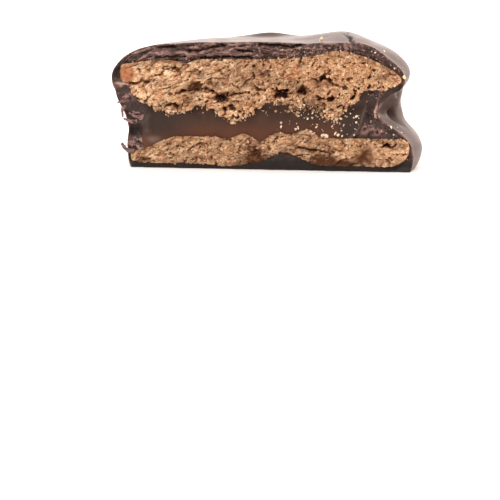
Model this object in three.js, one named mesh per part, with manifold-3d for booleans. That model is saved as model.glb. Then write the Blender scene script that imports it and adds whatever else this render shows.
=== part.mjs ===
// Half of a chocolate-coated alfajor. Two biscuits hold a layer of dulce de leche between them, a coat of dark
// chocolate wraps all three, and the piece is broken through its middle so that every layer shows at the break.
//
// Millimetres, +Z up. Sizes are stated from the round biscuit's own axis: X runs along the break, Y runs from
// the break into the piece and Z = 0 is the face that it stands on. At the end the whole piece is moved so that
// the origin lies under the middle of its box.

import * as THREE from "three";
import { ImprovedNoise } from "three/addons/math/ImprovedNoise.js";
import { mergeVertices } from "three/addons/utils/BufferGeometryUtils.js";
import Module from "manifold-3d";

// ---------------------------------------------------------------------------------------------------------
// Driving dimensions

const HEIGHT = 25; // the top of the coat at the axis
const LID_RADIUS = 29.2; // the coat round the upper biscuit
const BASE_RADIUS = 28.9; // the coat round the lower biscuit
const NECK_RADIUS = 27; // the coat round the filling
const LID_SHIFT = -0.95; // how far the upper biscuit sits off the axis, along X
const BASE_SHIFT = 0.8; // how far the lower biscuit sits off the axis, along X
const UPPER_TOP = 22.4; // the middle of the upper biscuit's dome
const UPPER_UNDERSIDE = 13.5;
const LOWER_TOP = 6.4;
const SOLE = 0.75; // the chocolate under the lower biscuit
const GAP = 0.25; // the room between neighbouring layers
const BREAK_AT = new THREE.Vector2(-0.1, -14.55); // where the biscuit's axis meets the break, from the origin

// How finely the solids are faceted
const SEGMENTS = 36; // round the whole biscuit
const RINGS = 17; // from the axis to a layer's rim
const RIM_STEPS = 5; // over a layer's rounded rim
const COAT_SEGMENTS = 72;
const COAT_STEPS = 26; // along the coat's profile

const { smoothstep, lerp, degToRad } = THREE.MathUtils;
const noise = new ImprovedNoise();

const wasm = await Module();
wasm.setup();

// ---------------------------------------------------------------------------------------------------------
// Small tools

/** A bell of height 1 at `at`, falling to 0.37 at `wide` to either side. */
const bell = (t, at, wide) => Math.exp(-(((t - at) / wide) ** 2));

/** The sum of bells over x, each { at, wide, high }. */
const bells = (x, list) => list.reduce((sum, b) => sum + b.high * bell(x, b.at, b.wide), 0);

/** Smooth noise from -1 to 1 with features of about `size` millimetres; `layer` picks a different pattern. */
const ripple = (x, y, z, size, layer = 0) => noise.noise(x / size + 7.3 * layer, y / size, z / size + 0.37);

/** A three.js geometry as a manifold-3d solid. */
function toSolid(geometry) {
  geometry.deleteAttribute("normal");
  geometry.deleteAttribute("uv");
  const merged = mergeVertices(geometry, 1e-4);
  const index = merged.index.array;
  const triangles = [];
  for (let i = 0; i < index.length; i += 3) {
    const [a, b, c] = index.slice(i, i + 3);
    if (a !== b && b !== c && a !== c) triangles.push(a, b, c);
  }
  const mesh = new wasm.Mesh({
    numProp: 3,
    vertProperties: new Float32Array(merged.attributes.position.array),
    triVerts: new Uint32Array(triangles),
  });
  return new wasm.Manifold(mesh);
}

/** The largest body of a solid, without the scraps that a cut can leave. */
function largestBody(solid) {
  return solid.decompose().reduce((best, body) => (body.volume() > best.volume() ? body : best));
}

/** A manifold-3d solid as a named mesh. */
function toMesh(solid, name, material) {
  const { vertProperties, triVerts } = largestBody(solid).getMesh();
  const geometry = new THREE.BufferGeometry();
  geometry.setAttribute("position", new THREE.BufferAttribute(vertProperties, 3));
  geometry.setIndex(new THREE.BufferAttribute(triVerts, 1));
  geometry.computeVertexNormals();
  const mesh = new THREE.Mesh(geometry, material);
  mesh.name = name;
  return mesh;
}

/** Moves every vertex of a geometry by `move`, which changes the vector that it is given. */
function reshape(geometry, move) {
  const position = geometry.attributes.position;
  const point = new THREE.Vector3();
  for (let i = 0; i < position.count; i += 1) {
    move(point.fromBufferAttribute(position, i));
    position.setXYZ(i, point.x, point.y, point.z);
  }
  return geometry;
}

// ---------------------------------------------------------------------------------------------------------
// The three inner layers: round slabs between two uneven surfaces

/** How much of a form that belongs to the break is left at depth y. */
const nearBreak = (y, reach) => bell(Math.max(y, 0), 0, reach);

/** The upper biscuit's domed top. At the break it dips, then swells and slopes down to a thin tip. */
function upperTop(x, y) {
  const r = Math.hypot(x - LID_SHIFT, y);
  const dome = UPPER_TOP - 1.5 * smoothstep(r, 17, 28);
  const dips = 0.75 * bell(x, -15.3, 1.7) + 0.45 * bell(x, 0.5, 7) + 0.4 * smoothstep(-x, 22, 29);
  const swelling = 0.9 * smoothstep(x, 10.2, 15.2);
  const slope = 2.6 * Math.max(0, (x - 13) / 10) ** 2;
  return lerp(dome, UPPER_TOP - 0.4 + 0.03 * x + swelling - dips - slope, nearBreak(y, 9));
}

/** The upper biscuit's underside, which sags into the filling where crumbs have come loose. */
const UPPER_SAGS = [
  { at: -18.1, wide: 4.4, high: -2.7 },
  { at: -5.4, wide: 4.2, high: -3.8 },
  { at: 7.3, wide: 2.2, high: -1.1 },
  { at: 14.3, wide: 2.5, high: -2.9 },
];
function upperBottom(x, y) {
  const rightLift = 2.4 * smoothstep(x, 18.6, 20.7) + 1.4 * smoothstep(x, 24, 28.4);
  const leftLift = 3.9 * smoothstep(-x, 25.2, 27.6);
  const ragged = 0.35 * ripple(x, y, 0, 1.9, 1);
  const atBreak = leftLift + rightLift + bells(x, UPPER_SAGS) + ragged;
  const r = Math.hypot(x - LID_SHIFT, y);
  const inside = 2.8 * smoothstep(r, 21, 27);
  return UPPER_UNDERSIDE + lerp(inside, atBreak, nearBreak(y, 5));
}

/** The lower biscuit's top, with a hollow and swells along the break and a fall towards its left end. */
const LOWER_SWELLS = [
  { at: -7.0, wide: 1.7, high: -0.4 },
  { at: -3.9, wide: 1.9, high: 0.9 },
  { at: -0.8, wide: 1.4, high: -1.3 },
  { at: 3.6, wide: 1.8, high: 0.8 },
  { at: 8.4, wide: 2.8, high: 1.4 },
];
function lowerTop(x, y) {
  const fall = -3.1 * smoothstep(-x, 17.1, 27.1);
  const ragged = 0.25 * ripple(x, y, 0, 1.7, 2);
  return LOWER_TOP + (fall + bells(x, LOWER_SWELLS) + ragged) * nearBreak(y, 6);
}

/** The lower biscuit's underside. It arches up over the thickest chocolate and at its right end. */
function lowerBottom(x, y) {
  const arch = 2.2 * bell(x, 4.2, 4.2);
  const lift = 1.9 * Math.max(0, (x - 24.3) / 4.7) ** 2;
  return SOLE + GAP + (arch + lift) * nearBreak(y, 6);
}

const UPPER_BISCUIT = {
  radius: LID_RADIUS - 1.1,
  rim: 1.4, // the width of its rounded rim
  fullness: 0.35, // of the rim: 1 would be round, less is squarer
  shift: LID_SHIFT + 0.35,
  top: upperTop,
  bottom: upperBottom,
  thin: 0.9, // it is at least this thick
};
const LOWER_BISCUIT = {
  radius: BASE_RADIUS - 0.7,
  rim: 2.2,
  fullness: 0.55,
  shift: BASE_SHIFT,
  top: lowerTop,
  bottom: lowerBottom,
  thin: 1,
};
// The filling reaches into both biscuits here, and is cut back to them below.
const FILLING = {
  radius: 23.7,
  rim: 1.7,
  fullness: 0.65,
  shift: -1.6,
  lean: { left: 1.4, right: 3.6 }, // how far its left end draws in at the top, and its right end at the bottom
  top: (x, y) => upperBottom(x, y) + 1.2,
  bottom: (x, y) => lowerTop(x, y) - 1.2,
  thin: 1,
};

/** A layer's slab with a rounded rim. `grow` adds that much on every side. */
function slab({ radius, rim, fullness, shift, top, bottom, thin, lean = { left: 0, right: 0 } }, grow = 0) {
  const flat = radius - rim + grow;
  const outline = [];
  for (let i = 0; i < RINGS; i += 1) outline.push(new THREE.Vector2((flat * i) / RINGS, 1));
  for (let i = 0; i <= RIM_STEPS; i += 1) {
    const turn = (Math.PI * i) / RIM_STEPS;
    const out = rim * Math.max(0, Math.sin(turn)) ** fullness;
    outline.push(new THREE.Vector2(flat + out, 0.5 + 0.5 * Math.cos(turn)));
  }
  for (let i = RINGS - 1; i >= 0; i -= 1) outline.push(new THREE.Vector2((flat * i) / RINGS, 0));
  const geometry = new THREE.LatheGeometry(outline.reverse(), SEGMENTS).rotateX(Math.PI / 2);
  reshape(geometry, (p) => {
    const share = p.z; // 1 on the top surface and 0 on the bottom one
    const fromLeft = lean.left * share * smoothstep(-p.x, 10, radius);
    const fromRight = lean.right * (1 - share) * smoothstep(p.x, 10, radius);
    p.x += shift + fromLeft - fromRight;
    const low = bottom(p.x, p.y);
    const high = Math.max(top(p.x, p.y), low + thin);
    p.z = lerp(low - grow, high + grow, share);
  });
  return toSolid(geometry);
}

// ---------------------------------------------------------------------------------------------------------
// The coat of chocolate

/** Radius and height down the coat: flat top, shoulder, rolled lip, neck, full base and tucked-in foot. */
const COAT_PROFILE = [
  [0, HEIGHT],
  [9, HEIGHT - 0.05],
  [17.5, HEIGHT - 0.3],
  [23.2, HEIGHT - 1.15],
  [26.6, HEIGHT - 2.6],
  [LID_RADIUS - 0.5, HEIGHT - 4.7],
  [LID_RADIUS, HEIGHT - 6.6],
  [LID_RADIUS - 0.8, HEIGHT - 8.3],
  [NECK_RADIUS + 0.3, HEIGHT - 9.8],
  [NECK_RADIUS, 12.6],
  [NECK_RADIUS + 0.8, 9.7],
  [BASE_RADIUS - 0.6, 7.6],
  [BASE_RADIUS, 4.8],
  [BASE_RADIUS, 2.8],
  [BASE_RADIUS - 0.15, 1.2],
  [BASE_RADIUS - 0.45, 0.3],
];
const FOOT_RADIUS = BASE_RADIUS - 0.65;

/** Raised forms on the coat's top: a low swirl behind the break and a ridge, which comes down to a fold at it. */
const SWIRL = { x: -1.5, y: 16, wide: 5, front: 1.1, back: 3.0, high: 0.85 };
const RIDGE = { fromX: 18.9, lean: -0.28, left: 7, right: 5, length: 18, high: 1.5 };
const FOLD = { x: 20.6, left: 3, right: 6, high: 0.95, reach: 9 };

/** A dent in the neck beside the break's right end, and a small deep dimple in it. */
const DENT = { depth: 4.6, turn: degToRad(9.5), z: 10.9, high: 3.6 };
const DIMPLE = { depth: 1.6, turn: degToRad(8), spread: degToRad(2.4), z: 11.7, high: 1.6 };

/** How much fuller the neck is at the left of the break, and the base at its right, than round the back. */
const LEFT_NECK = { bulge: 2.2, z: 13.8, high: 4.2 };
const RIGHT_BASE = { bulge: 1.2, z: 4, high: 3.6 };

/** Beside the break's right end the neck is fuller under the lid and hollower above the base. */
const RIGHT_NECK = { bulge: 0.7, z: 14.8, hollow: 0.9, low: 9.2, high: 1.9 };

/** Moves a point of the plain turned coat to where the uneven coat has it. */
function uneven(p) {
  const turn = Math.atan2(p.y, p.x);
  let r = Math.hypot(p.x, p.y);
  const side = smoothstep(r, 20, 27);
  r += side * (0.5 + 0.45 * ripple(p.x, p.y, p.z, 13, 3)) * smoothstep(p.y, 0, 6);
  r += side * 0.7 * ripple(p.x, p.y, 0, 7, 4) * bell(p.z, 0.8, 1.6) * smoothstep(p.y, 2, 10);
  r += side * LEFT_NECK.bulge * smoothstep(-p.x, 15, 26) * bell(p.z, LEFT_NECK.z, LEFT_NECK.high);
  if (p.x > 0) {
    const beside = smoothstep(p.y, 0, 7) * smoothstep(p.x, 5, 25);
    r += side * RIGHT_BASE.bulge * beside * bell(p.z, RIGHT_BASE.z, RIGHT_BASE.high);
    const neck = smoothstep(p.y, 2, 7) * smoothstep(p.x, 18, 25);
    r += side * RIGHT_NECK.bulge * neck * bell(p.z, RIGHT_NECK.z, RIGHT_NECK.high);
    r -= side * RIGHT_NECK.hollow * neck * bell(p.z, RIGHT_NECK.low, RIGHT_NECK.high);
    r -= side * DENT.depth * bell(turn, 0, DENT.turn) * bell(p.z, DENT.z, DENT.high);
    r -= side * DIMPLE.depth * bell(turn, DIMPLE.turn, DIMPLE.spread) * bell(p.z, DIMPLE.z, DIMPLE.high);
  }
  const x = r * Math.cos(turn);
  const y = r * Math.sin(turn);
  const lid = lerp(BASE_SHIFT, LID_SHIFT, smoothstep(p.z, 8, 16.5));
  const shoulderDrop = 1.1 * smoothstep(x, 13, 27) * nearBreak(y, 4.5) * smoothstep(p.z, 13.5, 17.5);
  const onTop = smoothstep(p.z, 22, 24);
  const steepness = y < SWIRL.y ? SWIRL.front : SWIRL.back;
  const swirl = SWIRL.high * bell(x, SWIRL.x, SWIRL.wide) * bell(y, SWIRL.y, steepness);
  const crest = RIDGE.fromX + RIDGE.lean * y;
  const width = x < crest ? RIDGE.left : RIDGE.right;
  const atBreak = FOLD.high * bell(x, FOLD.x, x < FOLD.x ? FOLD.left : FOLD.right) - 0.3 * bell(x, 10, 4);
  const behindIt = RIDGE.high * bell(x, crest, width) * smoothstep(RIDGE.length - y, 0, 8);
  const ridge = lerp(atBreak, behindIt, smoothstep(y, 0, FOLD.reach));
  const waves = 0.22 * ripple(x, y, 0, 9, 5);
  const fallBack = 0.2 * smoothstep(y, 10, 26);
  p.set(x + lid, y, p.z + onTop * (swirl + ridge + waves - fallBack) - shoulderDrop);
}

/** The coat's outer form, solid right through. */
function coatForm() {
  const spline = new THREE.SplineCurve(COAT_PROFILE.map(([r, z]) => new THREE.Vector2(r, z)));
  const outline = spline.getSpacedPoints(COAT_STEPS);
  outline[0].x = 0;
  outline.push(new THREE.Vector2(FOOT_RADIUS, 0), new THREE.Vector2(0, 0));
  const geometry = new THREE.LatheGeometry(outline.reverse(), COAT_SEGMENTS).rotateX(Math.PI / 2);
  return toSolid(reshape(geometry, uneven));
}

// ---------------------------------------------------------------------------------------------------------
// The break: what is left behind a rough upright surface, which differs from layer to layer

/** Holes that crumbs have left in the biscuits: place on the break, radius and depth. */
const HOLES = [
  { x: -8.4, z: 14.3, r: 1.15, deep: 2.2 },
  { x: 4.6, z: 15.2, r: 1.1, deep: 2.0 },
  { x: 7.9, z: 15.5, r: 1.2, deep: 2.0 },
  { x: 12.0, z: 17.9, r: 0.8, deep: 1.2 },
  { x: 13.2, z: 14.4, r: 1.0, deep: 1.6 },
  { x: -13.5, z: 16.0, r: 1.2, deep: 1.0 },
  { x: 0.4, z: 18.8, r: 0.9, deep: 1.0 },
  { x: 22.9, z: 5.2, r: 1.0, deep: 1.2 },
  { x: -25.4, z: 2.6, r: 1.0, deep: 1.3 },
];

/** Depth of the craggy break in a biscuit: steps along the bake, crumbs, and the holes above. */
function biscuitBreak(x, z) {
  const crags = 0.75 * ripple(x, 0, z * 1.7, 4.2, 6) + 0.45 * ripple(x, 0, z * 1.5, 1.9, 7);
  const holes = HOLES.reduce((sum, h) => sum + h.deep * bell(Math.hypot(x - h.x, (z - h.z) * 1.25), 0, h.r), 0);
  return crags + holes;
}

/** Depth of the smooth break in the filling, which hangs back a little from the biscuits. */
function fillingBreak(x, z) {
  return 0.6 + 0.35 * ripple(x, 0, z, 8, 8) + 0.4 * bell(z, 12.5, 1.6) - 0.2 * bell(z, 9, 2);
}

/** Places where the coat broke off further back than the rest. */
const CHIPS = [
  { x: -25.9, z: 7.5, wide: 1.6, high: 1.7, deep: 0.9 },
  { x: -28.6, z: 10.3, wide: 1.1, high: 1.2, deep: 1.2 },
  { x: -27.6, z: 2.6, wide: 1.2, high: 1.6, deep: 0.8 },
  { x: 21.6, z: 11.6, wide: 1.4, high: 2.6, deep: 1.1 },
  { x: 26.5, z: 1.2, wide: 2.6, high: 0.9, deep: 0.6 },
];
function coatBreak(x, z) {
  const chips = CHIPS.reduce((sum, c) => sum + c.deep * bell(x, c.x, c.wide) * bell(z, c.z, c.high), 0);
  return 0.25 + chips + 0.4 * ripple(x, 0, z * 2.2, 3.4, 9);
}

/** Everything behind a break, as a block whose front face has cells of about `cell` millimetres. */
function behind(depthAt, cell) {
  const size = new THREE.Vector3(66, 44, 32);
  const columns = Math.round(size.x / cell);
  const rows = Math.round(size.z / cell);
  const block = new THREE.BoxGeometry(size.x, size.y, size.z, columns, 1, rows);
  block.translate(0, size.y / 2, size.z / 2 - 3);
  reshape(block, (p) => {
    if (p.y < size.y / 2) p.y += depthAt(p.x, p.z);
  });
  return toSolid(block);
}

// ---------------------------------------------------------------------------------------------------------
// The piece

const BISCUIT = new THREE.MeshStandardMaterial({ color: 0xc69563, roughness: 0.9, metalness: 0 });
const DULCE_DE_LECHE = new THREE.MeshStandardMaterial({ color: 0x5a3a29, roughness: 0.4, metalness: 0 });
const CHOCOLATE = new THREE.MeshStandardMaterial({ color: 0x35241f, roughness: 0.35, metalness: 0 });

const upperRoom = slab(UPPER_BISCUIT, GAP);
const lowerRoom = slab(LOWER_BISCUIT, GAP);
const fillingForm = slab(FILLING).subtract(upperRoom).subtract(lowerRoom);
const fillingRoom = slab(FILLING, GAP);
const coat = coatForm().subtract(upperRoom).subtract(lowerRoom).subtract(fillingRoom);

const biscuitBlock = behind(biscuitBreak, 1.05);

const alfajor = new THREE.Group();
alfajor.name = "half_alfajor";
alfajor.add(
  toMesh(slab(UPPER_BISCUIT).intersect(biscuitBlock), "upper_biscuit", BISCUIT),
  toMesh(fillingForm.intersect(behind(fillingBreak, 1.6)), "dulce_de_leche", DULCE_DE_LECHE),
  toMesh(slab(LOWER_BISCUIT).intersect(biscuitBlock), "lower_biscuit", BISCUIT),
  toMesh(coat.intersect(behind(coatBreak, 1.3)), "chocolate_coat", CHOCOLATE),
);
alfajor.position.set(BREAK_AT.x, BREAK_AT.y, 0);

export default alfajor;
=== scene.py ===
"""The looks of half a chocolate-coated alfajor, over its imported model.

Forms are worked out in millimetres from the round biscuit's own axis, as in the model's source: X runs
along the break, Y from the break into the piece and Z up. Each piece is moved and scaled into the frame
when it is finished.
"""

import math
from functools import partial, reduce
from itertools import product
from types import SimpleNamespace

import bmesh
import bpy
import numpy as np
from mathutils import Matrix, Vector
from mathutils.bvhtree import BVHTree

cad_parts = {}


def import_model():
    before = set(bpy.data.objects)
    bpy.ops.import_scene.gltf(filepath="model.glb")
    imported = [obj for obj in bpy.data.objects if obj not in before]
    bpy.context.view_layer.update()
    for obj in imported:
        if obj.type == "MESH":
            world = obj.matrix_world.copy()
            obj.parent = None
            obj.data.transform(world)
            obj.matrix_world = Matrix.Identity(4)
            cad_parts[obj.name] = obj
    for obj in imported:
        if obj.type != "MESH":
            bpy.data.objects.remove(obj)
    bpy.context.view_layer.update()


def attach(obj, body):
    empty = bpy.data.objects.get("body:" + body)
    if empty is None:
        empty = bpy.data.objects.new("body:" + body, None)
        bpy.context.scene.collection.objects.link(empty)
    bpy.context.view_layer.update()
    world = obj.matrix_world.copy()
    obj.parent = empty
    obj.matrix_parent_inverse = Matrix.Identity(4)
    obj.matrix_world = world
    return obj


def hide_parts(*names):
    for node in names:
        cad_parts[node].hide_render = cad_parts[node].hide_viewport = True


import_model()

# ---- Sizes, in millimetres, as in the model's source

HEIGHT = 25.0
LID_RADIUS = 29.2
BASE_RADIUS = 28.9
NECK_RADIUS = 27.0
LID_SHIFT = -0.95  # how far the upper biscuit sits off the axis, along X
BASE_SHIFT = 0.8  # how far the lower biscuit sits off the axis, along X
SOLE = 0.75  # the chocolate under the lower biscuit
GAP = 0.25  # the room between neighbouring layers
OVERLAP = 0.03  # how far the coat reaches into the layers, so that no gap shows between them
BREAK_AT = (-0.1, -14.55)  # where the axis, which is in the break, stands in the frame
MM_PER_METRE = 1000

# The camera, matched to the photo: where the break is seen from, and the bearing of the camera's own axis,
# which differs because the piece sits high in the frame
VIEW_AZIMUTH, VIEW_ELEVATION = math.radians(15), math.radians(7.5)
AIM_AZIMUTH, AIM_ELEVATION = math.radians(15.5753), math.radians(12.9461)
ROLL = math.radians(-1.6)
FRAME_PIXELS, FOCAL_PIXELS, SENSOR = 500, 1500, 36
PIXELS_PER_MM = 5.117  # at the break

# ---- Small maths on arrays


def smoothstep(t, low, high):
    s = np.clip((t - low) / (high - low), 0, 1)
    return s * s * (3 - 2 * s)


def lerp(a, b, share):
    return a + (b - a) * share


def bell(t, at, wide):
    """A bell of height 1 at `at`, falling to 0.37 at `wide` to either side."""
    return np.exp(-(((t - at) / wide) ** 2))


def bells(x, table):
    """The sum of bells over x, each (at, wide, high)."""
    return sum(high * bell(x, at, wide) for at, wide, high in table)


def spots(x, z, table, edge=2.0):
    """The strongest of some spots at each point, each (x, z, half width, half height, strength).
    A higher `edge` makes them sharper and squarer."""
    best = np.zeros(np.shape(x))
    for at_x, at_z, wide, high, strength in table:
        away = np.abs((x - at_x) / wide) ** edge + np.abs((z - at_z) / high) ** edge
        best = np.maximum(best, strength * np.exp(-(away ** (1 + 1 / edge))))
    return best


def most(*fields):
    """The greatest of several values at each point."""
    return reduce(np.maximum, fields)


def near_path(x, z, path):
    """Distance from each point to a path of straight pieces."""
    best = np.full(np.shape(x), 1e9)
    for (ax, az), (bx, bz) in zip(path, path[1:]):
        dx, dz = bx - ax, bz - az
        share = np.clip(((x - ax) * dx + (z - az) * dz) / (dx * dx + dz * dz), 0, 1)
        best = np.minimum(best, np.hypot(x - ax - share * dx, z - az - share * dz))
    return best


def strokes(x, z, table):
    """The strongest of some strokes at each point, each (half width, path)."""
    return most(*(bell(near_path(x, z, path), 0, wide) for wide, path in table))


def bearing(azimuth, elevation):
    """The direction to a viewer in front of the break, so far round to the right and so far up."""
    level = math.cos(elevation)
    return math.sin(azimuth) * level, -math.cos(azimuth) * level, math.sin(elevation)


SHUFFLE = np.random.default_rng(5).permutation(256)
GRADIENTS = np.array([g for g in product((-1, 0, 1), repeat=3) if np.abs(g).sum() == 2], float)


def shuffled(i, j, k):
    """A repeatable random whole number, 0 to 255, for each cell of a lattice."""
    return SHUFFLE[(SHUFFLE[(SHUFFLE[i & 255] + j) & 255] + k) & 255]


def ripple(x, y, z, size, layer=0):
    """Smooth noise from -1 to 1 with features of about `size` millimetres; `layer` picks the pattern."""
    point = [c / size for c in np.broadcast_arrays(x, y, z)]
    cell = [np.floor(c).astype(int) for c in point]
    part = [c - i for c, i in zip(point, cell)]
    fade = [t**3 * (t * (t * 6 - 15) + 10) for t in part]
    total = np.zeros(point[0].shape)
    for corner in product((0, 1), repeat=3):
        i, j, k = (c + step for c, step in zip(cell, corner))
        gradient = GRADIENTS[shuffled(i, j, k + 37 * layer) % len(GRADIENTS)]
        slope = sum(gradient[..., a] * (part[a] - corner[a]) for a in range(3))
        weight = math.prod(fade[a] if corner[a] else 1 - fade[a] for a in range(3))
        total += weight * slope
    return total


def noise(x, z, size, layer):
    """The same noise over the break."""
    return ripple(x, 0, z, size, layer)


def warped(x, z, waves, start=None):
    """Places shifted by waves, each (size, how far along x, how far along z, layer)."""
    to_x, to_z = start or (x, z)
    for size, along_x, along_z, layer in waves:
        to_x = to_x + along_x * noise(x, z, size, layer)
        to_z = to_z + along_z * noise(x, z, size, layer + 1)
    return to_x, to_z


def grains(x, z, size, layer):
    """Packed grains about `size` across, as one broken face each.

    Gives for each point the grain's own number, 0 to 1; `inner`, 0 in the crevices and 1 on the grain; and
    `back`, how many sizes the point is set back, since each face has its own depth and tilt.
    """
    x, z = x / size, z / size
    column, row = np.floor(x).astype(int), np.floor(z).astype(int)
    first = np.full(x.shape, 9.0)
    second = first.copy()
    number = np.zeros(x.shape)
    back = np.zeros(x.shape)
    for i, j in product((-1, 0, 1), repeat=2):
        tags = [shuffled(column + i, row + j, layer + k) / 255 for k in (0, 90, 50)]
        across, up = x - column - i - tags[0], z - row - j - tags[1]
        away = np.hypot(across, up)
        closer = away < first
        second = np.where(closer, first, np.minimum(second, away))
        number = np.where(closer, tags[2], number)
        back = np.where(closer, 0.6 * tags[2] + (tags[0] - 0.5) * across + (tags[1] - 0.1) * up, back)
        first = np.where(closer, away, first)
    return SimpleNamespace(number=number, inner=np.clip((second - first) * 2.2, 0, 1) ** 0.6, back=back)


def creases(x, z, size, layer):
    """Swellings about `size` across with sharp creases between them: 1 on the swellings, 0 in the creases."""
    return np.clip(2.6 * np.abs(ripple(x, 0, z, size, layer)), 0, 1) ** 0.8


# ---- The three inner layers: round slabs between two uneven surfaces


def near_break(y, reach):
    """How much of a form that belongs to the break is left at depth y."""
    return bell(np.maximum(y, 0), 0, reach)


def crumbled(x, y, layer):
    """Fine unevenness of a biscuit's outline at the break, where single crumbs stand out."""
    return (0.16 * ripple(x, y, 0, 0.9, layer) + 0.1 * ripple(x, y, 0, 0.45, layer + 1)) * near_break(y, 3)


def upper_top(x, y):
    dome = 22.4 - 1.5 * smoothstep(np.hypot(x - LID_SHIFT, y), 17, 28)
    slope = 2.6 * np.maximum(0, (x - 13) / 10) ** 2
    swells = bells(x, [(-15.3, 1.7, -0.75), (0.5, 7.0, -0.45)]) + 0.9 * smoothstep(x, 10.2, 15.2)
    at_break = 22 + 0.03 * x + swells - 0.4 * smoothstep(-x, 22, 29) - slope + crumbled(x, y, 20)
    return lerp(dome, at_break, near_break(y, 9))


def upper_bottom(x, y):
    lift = 2.4 * smoothstep(x, 18.6, 20.7) + 1.4 * smoothstep(x, 24, 28.4) + 3.9 * smoothstep(-x, 25.2, 27.6)
    left = [(-18.1, 4.4, -2.4), (-5.4, 4.2, -3.8)]
    sags = bells(x, left + [(3.5, 4.0, 0.5), (7.5, 2.0, -0.9), (14.3, 2.5, -2.9)])
    ragged = 0.35 * ripple(x, y, 0, 1.9, 1) + 2 * crumbled(x, y, 22)
    inside = 2.8 * smoothstep(np.hypot(x - LID_SHIFT, y), 21, 27)
    return 13.5 + lerp(inside, lift + sags + ragged, near_break(y, 5))


def lower_top(x, y):
    fall = -3.1 * smoothstep(-x, 17.1, 27.1)
    left = [(-7.0, 1.7, -0.4), (-3.3, 2.5, 0.7), (-0.8, 1.4, -1.1)]
    swells = bells(x, left + [(3.4, 1.9, 0.9), (8.4, 2.8, 1.3), (9.5, 1.2, 0.4)])
    ragged = 0.25 * ripple(x, y, 0, 1.7, 2) + crumbled(x, y, 24)
    return 6.4 + (fall + swells + ragged) * near_break(y, 6)


def lower_bottom(x, y):
    arches = 2.6 * bell(x, 4.4, 4.0) - 0.45 * bell(x, -7, 3.5)
    lift = 1.9 * np.maximum(0, (x - 24.3) / 4.7) ** 2
    return SOLE + GAP + (arches + lift) * near_break(y, 6) + crumbled(x, y, 26)


UPPER = SimpleNamespace(
    radius=LID_RADIUS - 1.1,
    rim=1.4,
    fullness=0.35,  # of the rim: 1 would be round, less is squarer
    shift=LID_SHIFT + 0.35,
    top=upper_top,
    bottom=upper_bottom,
    thin=0.9,
    lean=(0, 0),
    falls_back=-0.35,
)
LOWER = SimpleNamespace(
    radius=BASE_RADIUS - 0.7,
    rim=2.2,
    fullness=0.55,
    shift=BASE_SHIFT,
    top=lower_top,
    bottom=lower_bottom,
    thin=1,
    lean=(0, 0),
    falls_back=0.5,
)
FILLING = SimpleNamespace(
    radius=23.7,
    rim=1.7,
    fullness=0.65,
    shift=-1.6,
    top=lambda x, y: upper_bottom(x, y) + 0.4,
    bottom=lambda x, y: lower_top(x, y) - 0.4,
    thin=1,
    lean=(1.4, 3.6),
)


def slab(layer, grow=0.0, rings=112, rim_steps=12, segments=96):
    """A layer as a closed mesh with a rounded rim. `grow` adds that much on every side."""
    flat = layer.radius - layer.rim + grow
    across = np.linspace(0, flat, rings, endpoint=False)
    turn = np.linspace(0, np.pi, rim_steps + 1)
    radius = np.concatenate([across, flat + layer.rim * np.sin(turn).clip(0) ** layer.fullness, across[::-1]])
    share = np.concatenate([np.ones(rings), 0.5 + 0.5 * np.cos(turn), np.zeros(rings)])
    points, faces = lathe(radius, share, segments)
    x, y, share = points.T
    left, right = layer.lean
    inward = left * share * smoothstep(-x, 10, layer.radius)
    inward = inward - right * (1 - share) * smoothstep(x, 10, layer.radius)
    x = x + layer.shift + inward
    low = layer.bottom(x, y)
    high = np.maximum(layer.top(x, y), low + layer.thin)
    return solid(np.stack([x, y, lerp(low - grow, high + grow, share)], -1), faces)


# ---- The coat's outer form

COAT_PROFILE = np.array(
    [
        (0, HEIGHT),
        (9, HEIGHT - 0.05),
        (17.5, HEIGHT - 0.3),
        (23.2, HEIGHT - 1.15),
        (26.6, HEIGHT - 2.6),
        (LID_RADIUS - 0.5, HEIGHT - 4.7),
        (LID_RADIUS, HEIGHT - 6.6),
        (LID_RADIUS - 0.8, HEIGHT - 8.3),
        (NECK_RADIUS + 0.3, HEIGHT - 9.8),
        (NECK_RADIUS, 12.6),
        (NECK_RADIUS + 0.8, 9.7),
        (BASE_RADIUS - 0.6, 7.6),
        (BASE_RADIUS, 4.8),
        (BASE_RADIUS, 2.8),
        (BASE_RADIUS - 0.15, 1.2),
        (BASE_RADIUS - 0.45, 0.3),
    ]
)
FOOT_RADIUS = BASE_RADIUS - 0.65

SWIRL = SimpleNamespace(x=-1.5, y=16, wide=5, front=1.1, back=3.0, high=0.85)
RIDGE = SimpleNamespace(from_x=18.9, lean=-0.28, left=7.0, right=5.0, length=18, high=1.5)
# What the ridge comes down to at the break
FOLD = SimpleNamespace(x=20.6, left=3.0, right=6.0, high=0.95, reach=9)
CREASE = SimpleNamespace(deep=0.7, wide=0.3, length=12)
LEFT_NECK = SimpleNamespace(bulge=2.2, z=13.8, high=4.2)
RIGHT_BASE = SimpleNamespace(bulge=1.2, z=4.0, high=3.6)
RIGHT_NECK = SimpleNamespace(bulge=0.7, z=14.8, hollow=0.9, low=9.2, high=1.9)
# Dent, dimple and hump in the right neck: how far out, degrees round from the break's right end, half width
# in degrees, z, half height
NECK_FORMS = [(-4.6, 0, 9.5, 10.9, 3.6), (-5.2, 8, 1.5, 11.9, 2.1), (2.2, 4.2, 2.0, 13.4, 1.5)]


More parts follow.
